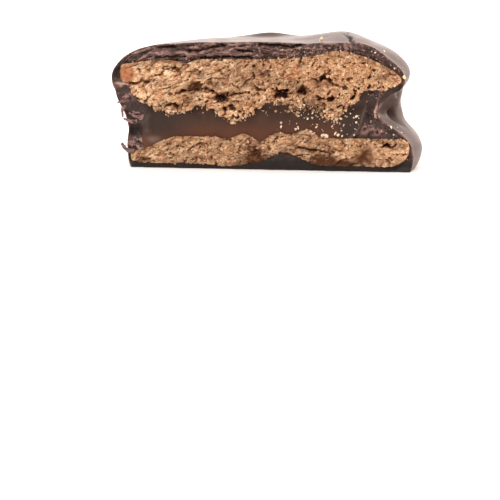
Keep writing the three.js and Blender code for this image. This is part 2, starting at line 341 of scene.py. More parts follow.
def uneven(x, y, z):
    """Moves points of the plain turned coat to where the uneven coat has them."""
    turn = np.arctan2(y, x)
    r = np.hypot(x, y)
    side = smoothstep(r, 20, 27)
    right = side * (x > 0)
    r = r + side * (0.5 + 0.45 * ripple(x, y, z, 13, 3)) * smoothstep(y, 0, 6)
    r = r + side * 0.7 * ripple(x, y, 0, 7, 4) * bell(z, 0.8, 1.6) * smoothstep(y, 2, 10)
    foot = right * RIGHT_BASE.bulge * smoothstep(y, 0, 7) * bell(z, RIGHT_BASE.z, RIGHT_BASE.high)
    r = r + foot * smoothstep(x, 5, 25)
    neck = RIGHT_NECK.bulge * bell(z, RIGHT_NECK.z, RIGHT_NECK.high)
    neck = neck - RIGHT_NECK.hollow * bell(z, RIGHT_NECK.low, RIGHT_NECK.high)
    r = r + right * neck * smoothstep(y, 2, 7) * smoothstep(x, 18, 25)
    r = r + side * LEFT_NECK.bulge * smoothstep(-x, 15, 26) * bell(z, LEFT_NECK.z, LEFT_NECK.high)
    for out, at, wide, level, high in NECK_FORMS:
        r = r + right * out * bell(turn, math.radians(at), math.radians(wide)) * bell(z, level, high)
    r = r + side * 0.1 * ripple(x, y, z, 3.5, 6)
    x, y = r * np.cos(turn), r * np.sin(turn)
    lid = lerp(BASE_SHIFT, LID_SHIFT, smoothstep(z, 8, 16.5))
    shoulder_drop = 1.1 * smoothstep(x, 13, 27) * near_break(y, 4.5) * smoothstep(z, 13.5, 17.5)
    on_top = smoothstep(z, 22, 24)
    depth = np.where(y < SWIRL.y, SWIRL.front, SWIRL.back)
    swirl = SWIRL.high * bell(x, SWIRL.x, SWIRL.wide) * bell(y, SWIRL.y, depth)
    crest = RIDGE.from_x + RIDGE.lean * y
    width = np.where(x < crest, RIDGE.left, RIDGE.right)
    ridge = RIDGE.high * bell(x, crest, width) * smoothstep(RIDGE.length - y, 0, 8)
    fold = FOLD.high * bell(x, FOLD.x, np.where(x < FOLD.x, FOLD.left, FOLD.right)) - 0.3 * bell(x, 10, 4)
    ridge = lerp(fold, ridge, smoothstep(y, 0, FOLD.reach))
    wander = crest + 0.35 * np.sin(y / 1.3) + 0.2 * np.sin(y / 0.5)
    ridge = ridge - CREASE.deep * bell(x, wander, CREASE.wide) * smoothstep(CREASE.length - y, 0, 8)
    waves = 0.22 * ripple(x, y, 0, 9, 5) + 0.05 * ripple(x, y, 0, 3, 7)
    fall_back = 0.2 * smoothstep(y, 10, 26)
    return x + lid, y, z + on_top * (swirl + ridge + waves - fall_back) - shoulder_drop


def spline(points, steps):
    """Evenly spaced points along a smooth curve through the given ones."""
    ends = np.concatenate([2 * points[:1] - points[1:2], points, 2 * points[-1:] - points[-2:-1]])
    dense = []
    for a, b, c, d in zip(ends, ends[1:], ends[2:], ends[3:]):
        t = np.linspace(0, 1, 40, endpoint=False)[:, None]
        curve = 2 * b + (c - a) * t + (2 * a - 5 * b + 4 * c - d) * t**2 + (3 * b - a - 3 * c + d) * t**3
        dense.append(0.5 * curve)
    dense = np.concatenate(dense + [points[-1:]])
    along = np.concatenate([[0], np.cumsum(np.hypot(*np.diff(dense, axis=0).T))])
    at = np.linspace(0, along[-1], steps + 1)
    return np.stack([np.interp(at, along, dense[:, i]) for i in (0, 1)], -1)


def coat_outline(steps):
    """The coat's outline from the axis at the top, round the side and along the foot back to the axis."""
    outline = spline(COAT_PROFILE, steps)
    outline[0, 0] = 0
    return np.concatenate([outline, [(FOOT_RADIUS, 0), (FOOT_RADIUS / 2, 0), (0, 0)]])


def coat_form(steps=210, segments=400):
    """The whole coat, uneven as it is, before it is broken and hollowed."""
    points, faces = lathe(*coat_outline(steps).T, segments)
    return solid(np.stack(uneven(*points.T), -1), faces)


def coat_edge():
    """The coat's outline at the break, as a path from the foot's right end over the top to its left end."""
    radius, height = coat_outline(90)[:-2].T
    right = np.stack(uneven(radius, np.zeros_like(radius), height), -1)[::-1]
    left = np.stack(uneven(-radius, np.zeros_like(radius), height), -1)
    return np.concatenate([right, left[1:]])[:, [0, 2]]


COAT_EDGE = coat_edge()

# ---- The break. Each function gives, for places (x, z) on it, how deep the surface lies and what colours it.

# Holes in the biscuits: x, z, half width, half height, depth
HOLES = [
    (-8.1, 14.2, 1.4, 0.7, 2.6),
    (4.2, 14.9, 1.5, 0.9, 2.4),
    (8.3, 15.8, 1.2, 0.85, 2.0),
    (6.3, 15.2, 0.8, 0.2, 1.2),
    (11.5, 14.1, 0.65, 0.5, 1.5),
    (14.0, 14.2, 0.6, 0.9, 1.7),
    (-13.6, 16.2, 1.6, 0.8, 0.7),
    (-1.3, 18.6, 0.6, 0.55, 1.4),
    (-0.6, 16.2, 0.7, 0.5, 1.5),
    (1.9, 18.6, 0.6, 0.45, 1.3),
    (1.5, 21.3, 0.5, 0.4, 1.0),
    (2.2, 15.9, 0.5, 0.3, 0.9),
    (12.0, 17.9, 0.7, 0.5, 2.0),
    (12.9, 18.2, 0.6, 0.5, 2.0),
    (13.5, 17.7, 0.5, 0.4, 1.6),
    (10.4, 17.7, 0.7, 0.25, 1.1),
    (8.0, 21.2, 0.35, 1.0, 0.9),
    (-4.3, 11.6, 0.5, 0.4, 1.2),
    (-6.0, 12.5, 0.8, 0.8, 1.5),
    (-7.8, 11.8, 0.3, 0.25, 0.8),
    (-18.2, 12.6, 1.3, 0.4, 1.2),
    (-12.6, 19.4, 0.5, 0.25, 0.9),
    (16.8, 16.2, 0.35, 0.3, 1.2),
    (18.6, 16.0, 0.35, 0.3, 1.2),
    (19.7, 16.1, 0.3, 0.25, 1.0),
    (24.7, 5.0, 1.3, 0.45, 1.9),
    (-24.7, 1.8, 1.3, 0.5, 1.1),
    (-1.4, 3.2, 1.6, 1.1, 1.0),
    (-15.0, 5.0, 0.3, 0.25, 0.9),
    (-7.0, 6.0, 0.9, 0.2, 0.8),
    (20.4, 3.4, 2.1, 2.0, 0.5),
    (20.2, 14.9, 0.4, 0.4, 0.9),
    (17.9, 18.0, 0.5, 0.3, 0.9),
    (16.0, 19.4, 0.35, 0.3, 0.8),
]
# Cracks in the biscuits, as paths
CRACKS = [
    [(-18.7, 15.0), (-16.8, 15.0), (-15.7, 15.4), (-14.5, 16.3), (-13.8, 16.8), (-12.4, 17.3)],
    [(-15.7, 15.4), (-12.9, 15.8), (-11.2, 15.9), (-9.5, 15.4), (-8.6, 14.8)],
    [(-27.0, 17.2), (-25.6, 17.0), (-24.3, 17.4), (-23.2, 17.2)],
    [(-18.9, 19.6), (-17.6, 19.9), (-16.4, 19.4)],
    [(-6.4, 14.6), (-4.5, 15.0), (-2.3, 15.3)],
    [(14.2, 16.9), (16.2, 16.4), (17.6, 16.1)],
    [(6.9, 4.6), (8.6, 4.4), (10.1, 3.9), (12.6, 3.8), (14.3, 3.6)],
]
CRACK_WIDTH = 0.3
# Smooth baked crust on the biscuits: x, z, half width, half height, how much of it
CRUST = [
    (-27.3, 18.9, 1.7, 1.8, 1.0),
    (26.7, 18.4, 1.5, 1.1, 0.4),
    (20.4, 3.1, 2.1, 2.5, 0.55),
    (13.0, 1.4, 6.0, 0.9, 0.5),
    (-1.6, 2.0, 2.4, 1.7, 0.35),
    (10.2, 16.7, 2.8, 0.7, 0.5),
    (14.9, 16.6, 1.7, 0.5, 0.5),
]
# Brown stains from chocolate and darker baking, and painted shade low in the lower biscuit: x, z, half width,
# half height, strength
STAINS = [
    (24.0, 18.2, 1.7, 0.7, 0.75),
    (24.6, 17.7, 0.9, 0.4, 0.5),
    (-13.5, 16.3, 1.9, 1.1, 1.3),
    (-15.2, 14.3, 2.1, 0.5, 0.6),
    (13.2, 1.4, 6.2, 1.0, 1.8),
    (-1.5, 2.0, 2.5, 1.8, 1.5),
    (20.4, 2.8, 2.1, 2.4, 1.1),
    (-0.8, 5.6, 1.2, 1.2, 0.8),
    (-11.5, 15.9, 3.4, 0.6, 0.65),
    (20.2, 3.3, 2.2, 0.8, 0.7),
    (12.5, 17.0, 2.8, 0.8, 0.55),
    (-5.9, 18.2, 4.2, 2.3, 0.35),
    (1.8, 17.5, 4.5, 1.2, 0.45),
    (8.2, 21.0, 0.7, 1.1, 0.6),
    (-24.6, 1.8, 1.6, 0.9, 0.9),
    (-1.6, 2.8, 2.8, 1.5, 0.9),
    (-19.0, 12.7, 1.5, 0.7, 0.7),
    (-14.5, 13.7, 2.8, 0.8, 0.35),
    (9.5, 4.4, 7.0, 1.5, 0.5),
    (-23.6, 4.7, 1.9, 1.0, 0.7),
    (-26.6, 20.8, 2.4, 0.4, 0.45),
    (-28.5, 19.0, 0.3, 1.8, 0.5),
    (-3.0, 4.0, 2.8, 1.8, 0.5),
    (-2.5, 2.4, 4.8, 1.6, 0.6),
    (20.4, 3.4, 2.1, 2.2, 0.5),
    (-10.5, 20.8, 2.2, 0.5, 0.45),
    (-16.6, 20.3, 2.2, 0.6, 0.35),
    (16.5, 21.9, 2.6, 0.4, 0.4),
    (-12.2, 18.6, 1.8, 0.9, 0.65),
    (-9.0, 17.0, 1.7, 0.9, 0.6),
    (-2.5, 17.0, 1.7, 0.9, 0.75),
    (0.8, 19.0, 1.8, 1.3, 0.75),
    (-20.4, 17.0, 3.2, 0.8, 0.3),
    (5.5, 17.0, 3.2, 0.8, 0.6),
    (-5.8, 15.3, 1.7, 0.9, 0.65),
    (-13.6, 15.2, 1.4, 0.9, 0.5),
    (8.8, 15.3, 3.2, 0.8, 0.55),
    (-4.2, 13.6, 3.2, 0.8, 0.35),
    (5.2, 12.4, 2.6, 1.4, 0.8),
    (10.6, 12.6, 2.4, 1.9, 0.9),
    (14.8, 12.8, 2.6, 1.2, 0.35),
    (-21.0, 12.2, 2.6, 0.8, 0.35),
    (-15.6, 5.6, 1.7, 0.8, 0.35),
    (-7.6, 5.6, 3.2, 0.8, 0.4),
    (8.8, 6.8, 3.0, 0.8, 0.5),
    (10.6, 5.6, 3.2, 0.8, 0.5),
    (26.6, 5.4, 1.8, 0.9, 0.6),
    (20.3, 5.6, 1.6, 0.8, 0.5),
    (4.0, 4.0, 1.7, 0.8, 0.35),
    (0.8, 2.6, 1.8, 0.8, 0.8),
    (12.2, 2.6, 3.5, 0.9, 1.3),
    (-19.0, 1.0, 1.8, 0.6, 0.35),
    (-14.0, 3.5, 9.0, 2.4, 0.3),
    (12.0, 4.2, 12.0, 2.4, 0.22),
    (-3.0, 18.5, 7.0, 3.5, 0.38),
]


SOAKED = 0.75  # how brown a biscuit's top edge is, from the chocolate


def biscuit_break(x, z, layer):
    """A biscuit's craggy break: flaky to the left, sandy to the right, with pores, holes and cracks."""
    level = np.zeros(np.shape(x))
    under = z - layer.bottom(x, level)
    over = layer.top(x, level) - z
    sandy = smoothstep(x + 3 * noise(x, z, 6, 54), -14, 4) if layer is UPPER else 0.5 + 0 * x
    wx, wz = warped(x, z, [(1.7, 0.45, 0.35, 8), (0.6, 0.12, 0.12, 28)])
    smooth = spots(wx, wz, CRUST, 3)
    along, across = wx * 0.94 + wz * 0.34, wz * 0.94 - wx * 0.34  # flakes rise a little to the right
    blocks = grains(along * 0.6, across * 1.2, 2.0, 50)
    clods = grains(along * 0.62, across * 1.15, 0.95, 51)
    bits = grains(wx, wz, 0.42, 52)
    specks = grains(x, z, 0.3, 53)
    faces = (0.45 - 0.1 * sandy) * blocks.back + (0.38 - 0.06 * sandy) * clods.back
    faces = faces + (0.32 + 0.13 * sandy) * bits.back
    crevice = 0.22 * (1 - blocks.inner) ** 2 * (1 - 0.4 * sandy) + 0.16 * (1 - clods.inner) ** 2
    crevice = crevice + (0.13 + 0.07 * sandy) * (1 - bits.inner)
    crevice = crevice + 0.45 * (1 - creases(along * 0.5, across * 1.2, 1.2, 2)) * (1 - sandy)
    loose = smoothstep(under, 3.4, 1.4) if layer is UPPER else 0 * x
    pores = noise(wx, wz * 1.3, 1.0, 10) + 0.5 * noise(wx, wz, 0.45, 62)
    pores = smoothstep(pores, 0.2 - 0.1 * loose, 0.55) * (0.35 + 0.25 * sandy + 0.4 * loose)
    holes = spots(*warped(x, z, [(1.2, 0.7, 0.6, 55), (0.5, 0.3, 0.3, 60)], (wx, wz)), HOLES)
    cracks = 1.3 * strokes(wx, wz, [(CRACK_WIDTH, path) for path in CRACKS])
    holes = np.maximum(holes, cracks * (0.75 + noise(x, z, 1, 31)))
    crags = 0.5 * noise(x, z * 1.6, 4.2, 11) + 0.3 * noise(x, z * 1.5, 1.9, 12)
    bedding = layer.falls_back * bell(under, 0, 0.9)
    rough = 1 - 0.7 * smooth
    relief = rough * (faces + crevice + 0.5 * pores + 0.06 * noise(x, z, 0.3, 13))
    depth = crags + relief + 0.8 * holes + bedding - 0.6
    # Painted shade: darker in crevices, pores, holes and cracks, and where crags lie deeper
    gaps = 1.3 * (faces - 0.3) + 1.2 * crevice + 1.2 * pores
    cavity = rough * (0.7 + 0.2 * sandy) * gaps + holes * (0.35 + 0.25 * holes) + 0.2 * crags
    patches = 0.45 + 1.2 * noise(wx, wz, 0.9, 32) + noise(wx, wz, 2.4, 63)
    flaky = 0.3 * clods.number + 0.3 * bits.number + 0.3 * patches + 0.17
    tone = lerp(flaky, 0.4 * bits.number + 0.2 * clods.number + 0.3 * patches, sandy)
    tone = tone + 0.4 * (specks.number > 0.84)
    # Browner along the top edge, soaked by what lies on it; along the bottom edge partly soaked and partly
    # painted shade
    soaked = SOAKED * bell(over, 0, 0.7) + 0.35 * bell(under, 0, 0.5)
    stain = np.maximum(spots(wx, wz, STAINS), soaked * (0.6 + noise(x, z, 1.5, 33)))
    return SimpleNamespace(
        depth=depth, cavity=np.clip(cavity, 0, 1.6), crust=smooth, stain=stain, tone=tone, sandy=sandy
    )


# Painted highlights on the filling's curled edges, at its left lobe and its right end, and a pale smudge on
# the lobe
LOBE = [(-24.2, 13.2), (-23.7, 10.5), (-24.0, 8.5), (-23.6, 6.2), (-22.5, 5.4), (-21.4, 5.3)]
FILLING_RIM = [(20.7, 12.6), (20.0, 10.9), (19.7, 9.1), (18.9, 7.8), (18.0, 7.0), (17.2, 6.4)]
SMUDGE = [(-22.3, 5.7, 1.3, 0.7, 1)]


def filling_break(x, z):
    """The smooth break of the filling: soft upright smears, and ends that turn away from the break."""
    smears = 0.1 * noise(x, z * 0.5, 2.1, 14) + 0.25 * noise(x, z, 7, 15) + 0.03 * noise(x, z * 0.5, 0.5, 16)
    step = smoothstep(x, 14.6, 16.0) - 0.5 * smoothstep(x, 17.5, 20)
    # A painted highlight along the curled edges, and a pale smudge
    bloom = 0.3 * bell(near_path(x, z, LOBE), 0, 0.7) * (0.6 + 0.9 * noise(x, z, 1.1, 34))
    bloom = bloom + 0.5 * spots(x, z, SMUDGE)
    bloom = np.maximum(bloom, 0.4 * bell(near_path(x, z, FILLING_RIM), 0, 0.25))
    depth = 0.5 + smears - 0.3 * step - 0.2 * smoothstep(-x, 22, 23.5) + 0.3 * bell(z, 12.8, 1.2)
    # The ends, where the break turns away, are painted in shade, a little greyer
    ends = np.maximum(smoothstep(x, 14.5, 16.5), smoothstep(-x, 12, 21) * smoothstep(z, 5, 8))
    return SimpleNamespace(depth=depth, bloom=np.clip(bloom, 0, 1), grey=ends)


# Places where the coat broke off further back: x, z, half width, half height, depth
CHIPS = [
    (-26.2, 7.5, 1.5, 1.4, 1.0),
    (-28.6, 10.3, 1.1, 1.2, 1.2),
    (-28.2, 15.9, 1.5, 0.9, 0.5),
    (-27.6, 2.6, 1.2, 1.6, 0.8),
    (21.6, 11.6, 1.4, 2.6, 1.1),
    (25.3, 8.1, 2.0, 0.9, 0.4),
    (26.5, 1.2, 2.6, 0.9, 0.6),
    (-29.4, 19.2, 0.7, 2.0, 0.4),
]
# Clefts between the thick top's flakes, painted in shade, and the flakes' edges, painted as highlights: half
# width, path
CLEFTS = [
    (0.26, [(-14.6, 23.3), (-12.1, 23.4), (-9.6, 24.0), (-7.3, 24.4)]),
    (0.22, [(-20.9, 24.0), (-19.1, 24.1), (-17.0, 24.1)]),
    (0.18, [(-21.5, 22.0), (-19.2, 22.2), (-15.3, 22.2)]),
    (0.22, [(-11.9, 22.0), (-7.4, 22.2), (-1.8, 22.0)]),
    (0.2, [(-4.4, 23.4), (-1.7, 23.1)]),
    (0.26, [(-0.1, 24.5), (4.5, 24.3), (6.2, 24.0), (8.0, 24.5)]),
]
FLAKE_EDGES = [
    (0.16, [(-27.3, 22.0), (-25.6, 22.8), (-24.2, 23.4), (-22.6, 23.8)]),
    (0.22, [(-24.9, 21.5), (-22.6, 22.9), (-19.9, 22.8), (-17.3, 23.0), (-15.5, 23.0), (-14.4, 22.6)]),
    (0.22, [(-14.4, 22.6), (-12.3, 22.7), (-11.2, 22.5)]),
    (0.16, [(-22.0, 22.0), (-19.2, 22.3), (-15.5, 21.9), (-14.2, 22.2)]),
    (0.13, [(-12.1, 23.0), (-9.6, 23.6), (-7.1, 24.1), (-4.4, 24.6), (-2.1, 24.8)]),
    (0.13, [(-7.3, 23.2), (-5.1, 23.8), (-2.2, 24.1)]),
    (0.16, [(-6.2, 22.6), (-4.0, 22.5), (-1.7, 22.9)]),
    (0.13, [(0.7, 23.1), (5.1, 23.4), (7.8, 23.8), (10.8, 23.7), (12.8, 23.5)]),
]
# Paler, reddish places where the chocolate is thin or bruised
RUDDY = [
    (-25.1, 4.8, 2.9, 1.3, 0.8),
    (-26.4, 10.9, 1.2, 0.35, 0.8),
    (-27.8, 14.3, 1.3, 0.8, 0.6),
    (-28.0, 16.6, 2.0, 0.5, 0.7),
    (21.8, 8.0, 2.4, 0.95, 0.55),
    (20.4, 13.9, 0.6, 0.6, 0.45),
    (22.4, 12.1, 0.35, 0.9, 0.6),
    (-24.9, 10.3, 1.0, 0.5, 0.5),
    (-13.3, 24.2, 0.95, 0.45, 1.0),
]
EVEN = [(-25.8, 12.3, 2.9, 1.1, 0.6)]  # a smooth place in the left neck
LIP = [(-28.2, 16.8, 1.9, 0.3, 0.8)]  # a pale lip above it
SHADE = [(-27.0, 22.0, 2.4, 0.9, 1)]  # the dark left shoulder
BUBBLES = [  # x, z, radius
    (20.3, 8.1, 0.55),
    (22.8, 7.7, 0.5),
    (21.6, 8.6, 0.25),
    (24.4, 8.4, 0.2),
    (19.3, 8.6, 0.2),
    (21.7, 7.4, 0.22),
]
# The thin pale rim of the chocolate round the right neck
RIM = [(23.7, 16.2), (23.2, 14.5), (22.7, 13.2), (22.7, 12.0)]
RIM += [(23.2, 10.6), (24.2, 9.5), (25.5, 8.8), (28.2, 7.5)]


def coat_break(x, z):
    """The coat's break: long thin flakes in the thick top, coarser, smoother pieces in necks and sole."""
    edge = near_path(x, z, COAT_EDGE)
    band = smoothstep(z - UPPER.top(x, np.zeros(np.shape(x))), -1.4, 0) * smoothstep(edge, 6, 4)
    above_sole = smoothstep(z, 1.5, 3)
    bent = edge + 0.55 * noise(x, z * 0.5, 5, 17) + 0.15 * noise(x, z, 1.6, 18)
    plates = grains(x * 0.16 + 0.4 * noise(x, z, 6, 35), bent, 0.62, 5)
    leaves = smoothstep(1 - creases(x * 0.15, bent, 0.7, 44), 0.55, 0.9)
    veins = smoothstep(1 - creases(x * 0.22 + 3, bent, 0.42, 45), 0.6, 0.92)
    torn = smoothstep(noise(x * 0.5, z, 2.4, 50), -0.15, 0.2)
    gaps = smoothstep(1 - creases(x * 0.14 + 9, bent, 0.7, 49), 0.5, 0.9) * torn
    fibres = smoothstep(noise(x * 0.4, bent, 0.34, 64), 0.12, 0.42)
    dust = smoothstep(noise(x, z, 0.42, 57), 0.22, 0.4) * smoothstep(noise(x, z, 3, 58), -0.3, 0.2)
    bent_x, bent_z = x + 0.3 * noise(x, z, 2, 40), z + 0.22 * noise(x, z, 1.1, 41)
    broken_up = 0.55 + 0.9 * noise(x, z, 1.3, 65)
    clefts = strokes(bent_x, bent_z, CLEFTS) * np.clip(broken_up + 0.5, 0, 1)
    edges = strokes(bent_x, bent_z, FLAKE_EDGES) * np.clip(broken_up, 0, 1)

    # How deep it lies: plates and grains in the top, chunks elsewhere, and neither at the outer edge
    granular = band * smoothstep(x, 0, 6)
    crumbly = grains(x + 0.2 * noise(x, z, 1, 66), z, 0.42, 7)
    flaky = 0.5 * plates.number + 0.2 * (1 - plates.inner) - 0.22 * leaves - 0.14 * veins
    flaky = flaky - 0.16 * fibres + 0.45 * gaps
    flaky = flaky * (1 - 0.5 * granular) + 0.4 * granular * crumbly.back - 0.25 * edges
    even = spots(x, z, EVEN, 3)
    chunks = grains(*warped(x, z, [(3, 0.8, 0.8, 37)]), 2.6, 6)
    pieces = (0.4 * chunks.number + 0.15 * (1 - chunks.inner)) * (1 - 0.7 * even)
    coarse = above_sole * pieces + 0.3 * noise(x, z, 3, 20) + 0.05 * noise(x, z, 0.7, 39)
    lip = bell(edge, 0, 0.3)
    depth = 0.35 + lerp(coarse, flaky, band) * (1 - 0.7 * lip)
    depth = depth + spots(x, z, CHIPS) * (1 - 0.8 * lip) + clefts
    bubbly = pits = 0 * x
    for at_x, at_z, radius in BUBBLES:
        away = np.hypot(x - at_x, z - at_z) / radius
        depth = depth - 0.2 * bell(away, 1, 0.3) + 0.35 * bell(away, 0.2, 0.45)
        bubbly = np.maximum(bubbly, bell(away, 1, 0.35))
        pits = np.maximum(pits, bell(away, 0, 0.45))
    ruddy = spots(*warped(x, z, [(1.5, 0.4, 0.3, 47)]), RUDDY, 3)
    mottled = 1.8 * noise(x * 0.7, z, 0.9, 42) + 1.5 * noise(x, z, 0.36, 53)
    depth = depth - 0.35 * ruddy * mottled
    whole = 0.85 * smoothstep(noise(x, z, 1.3, 51), 0, 0.2) * smoothstep(z, 7, 8.5) * smoothstep(z, 13.8, 12)
    rim = bell(near_path(x, z, RIM), 0, 0.13) * (0.15 + whole)
    rim = np.maximum(rim, spots(x, z + 0.2 * noise(x, z, 1, 52), LIP))

    # What is painted pale, mostly highlights, and what is painted dark, mostly shade
    patchy = smoothstep(noise(x * 0.6, z * 1.5, 2.2, 46), -0.25, 0.25)
    ridges = band * most(0.8 * leaves, 0.55 * veins, 0.45 * fibres) * (0.1 + 0.7 * patchy)
    ridges = ridges * (0.8 + 0.9 * noise(x * 0.7, z, 0.6, 59)) * (1 - 0.75 * granular)
    ridges = most(ridges, granular * 0.6 * smoothstep(crumbly.number, 0.75, 0.97), 1.1 * edges)
    # A painted highlight along the break's outer edge, broken up by noise and strongest between x -4 and 16
    worn = 0.4 + 0.5 * smoothstep(x, -12, -4) * smoothstep(x, 19, 16)
    worn = smoothstep(noise(x, z, 3, 43), -0.1, 0.3) * worn
    # Painted highlights on ridges and flake edges, with pale grains, dust and paler reddish places
    lit = most(ridges + 0.08 * band * patchy, 0.6 * dust * (band + 0.4 * above_sole)) * (1 - even)
    lit = most(lit, ruddy * np.clip(0.5 + mottled, 0, 1.2), worn * bell(edge, 0.1, 0.16))
    sunken = np.maximum(0.65 * gaps, 0.35 * smoothstep(plates.number, 0.45, 0.1))
    # Painted shade in clefts, gaps, bubble pits, the left chip, on the sole's face and the left shoulder;
    # also darker on some plates, in the upper right, at the far left edge and the smooth place
    dark = most(
        0.95 * clefts,
        band * (1 - 0.5 * granular) * sunken,
        0.8 * pits,
        0.3 * even,
        0.6 * spots(x, z, CHIPS[:1], 5),
        smoothstep(z, 3.2, 1.6) * smoothstep(edge, 0.1, 0.4),
        0.35 * smoothstep(x, 18, 22) * smoothstep(z, 16, 18) * (1 - 0.7 * dust),
        0.9 * smoothstep(x, -28.3, -28.9) * smoothstep(z, 17.6, 18.2) * smoothstep(edge, 0.05, 0.3),
        0.55 * spots(x, z, SHADE),
    )
    return SimpleNamespace(
        depth=depth - 0.45 * rim, lit=np.clip(lit, 0, 1), dark=np.clip(dark, 0, 1), bubbly=bubbly, rim=rim
    )


# ---- Meshes


def lathe(radius, height, segments):
    """Points and faces of a form turned round Z. Its outline runs down from the axis and back to it."""
    turn = np.linspace(0, 2 * np.pi, segments, endpoint=False)
    r, z = radius[1:-1, None], height[1:-1, None]
    rings = np.stack([r * np.cos(turn), r * np.sin(turn), z + 0 * turn], -1).reshape(-1, 3)
    points = np.concatenate([[(0, 0, height[0])], rings, [(0, 0, height[-1])]])
    here = 1 + np.arange(len(rings)).reshape(-1, segments)
    beside = np.roll(here, -1, axis=1)
    quads = np.stack([here[:-1], here[1:], beside[1:], beside[:-1]], -1).reshape(-1, 4)
    top = np.stack([np.zeros_like(here[0]), here[0], beside[0]], -1)
    below = np.stack([np.full_like(here[0], len(points) - 1), beside[-1], here[-1]], -1)
    return points, quads.tolist() + top.tolist() + below.tolist()


def add_object(name, data):
    made = bpy.data.objects.new(name, data)
    bpy.context.scene.collection.objects.link(made)
    return made


def solid(points, faces):
    """A closed mesh as an object that Booleans can use."""
    mesh = bpy.data.meshes.new("form")
    mesh.from_pydata(points, [], faces)
    return add_object("form", mesh)


FAR_BEHIND = 500.0


def behind(relief, x_range, z_range, step):
    """All that lies behind a break: a fine grid set back by the relief, and sides that meet far behind."""
    xs = np.arange(x_range[0], x_range[1] + step, step)
    zs = np.arange(z_range[0], z_range[1] + step, step)
    x, z = np.meshgrid(xs, zs)
    far = (np.mean(x_range), FAR_BEHIND, np.mean(z_range))
    points = np.concatenate([np.stack([x, relief(x, z).depth, z], -1).reshape(-1, 3), [far]])
    index = np.arange(x.size).reshape(x.shape)
    front = np.stack([index[:-1, :-1], index[:-1, 1:], index[1:, 1:], index[1:, :-1]], -1).reshape(-1, 4)
    loop = np.concatenate([index[0, :-1], index[:-1, -1], index[-1, :0:-1], index[:0:-1, 0]])
    sides = np.stack([np.roll(loop, -1), loop, np.full_like(loop, x.size)], -1)
    return solid(points, front.tolist() + sides.tolist())


def combine(form, tool, operation):
    """Cuts or trims a form with another, which is used up."""
    boolean = form.modifiers.new("cut", "BOOLEAN")
    boolean.object, boolean.operation, boolean.solver = tool, operation, "MANIFOLD"
    mesh = bpy.data.meshes.new_from_object(form.evaluated_get(bpy.context.evaluated_depsgraph_get()))
    form.modifiers.clear()
    form.data = mesh
    bpy.data.objects.remove(tool)
    return form


def paint(piece, **values):
    """Stores numbers at the vertices, for the materials to read."""
    for name, numbers in values.items():
        attribute = piece.data.attributes.new(name, "FLOAT", "POINT")
        attribute.data.foreach_set("value", np.asarray(numbers, np.float32))


def corners(piece):
    """The x, y and z of a mesh's vertices."""
    points = np.empty(3 * len(piece.data.vertices), np.float32)
    piece.data.vertices.foreach_get("co", points)
    return points.reshape(-1, 3).T.astype(float)


def lumps(places, sizes, squash, fine, random):
    """Many small angular lumps in one mesh, at the places, with the given radii."""
    ball = bpy.data.meshes.new("ball")
    sphere = bmesh.new()
    bmesh.ops.create_icosphere(sphere, subdivisions=fine, radius=1)
    sphere.to_mesh(ball)
    sphere.free()
    unit = np.array([v.co for v in ball.vertices])
    faces = np.array([p.vertices for p in ball.polygons])
    bpy.data.meshes.remove(ball)
    count = len(places)
    axes = np.linalg.qr(random.normal(size=(count, 3, 3)))[0]
    stretch = random.uniform(1 - squash, 1 + squash, (count, 1, 3))
    shape = unit[None] * (1 + random.uniform(-0.22, 0.22, (count, len(unit), 1)))
    for _ in range(4):  # each lump gets some flat sides
        side = random.normal(size=(count, 1, 3))
        side /= np.linalg.norm(side, axis=2)[..., None]
        over = (shape * side).sum(2)[..., None] - random.uniform(0.35, 0.75, (count, 1, 1))
        shape = shape - np.maximum(over, 0) * side
    points = (shape * stretch) @ axes * np.asarray(sizes)[:, None, None] + np.asarray(places)[:, None]
    corner = faces[None] + len(unit) * np.arange(count)[:, None, None]
    return points.reshape(-1, 3), corner.reshape(-1, 3), np.repeat(np.arange(count), len(unit))


def scatter(x_range, z_range, count, random):
    """Random places in a rectangle on the break."""
    return random.uniform(*x_range, count), random.uniform(*z_range, count)


def finish_piece(piece, name, material, replaced=(), sharp=50):
    """Puts a piece into the frame, in metres, and gives it its material."""
    piece.name = piece.data.name = name
    piece.data.transform(Matrix.Scale(1 / MM_PER_METRE, 4) @ Matrix.Translation((*BREAK_AT, 0)))
    piece.data.materials.clear()
    piece.data.materials.append(material)
    piece.data.shade_smooth()
    piece.data.set_sharp_from_angle(angle=math.radians(sharp))
    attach(piece, "root")
    if replaced:
        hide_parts(*replaced)


# ---- Materials


def linear(red, green, blue):
    """A colour given as 0 to 255 in sRGB, as the shader takes it."""
    share = np.array([red, green, blue]) / 255
    return (*np.where(share <= 0.04045, share / 12.92, ((share + 0.055) / 1.055) ** 2.4), 1.0)


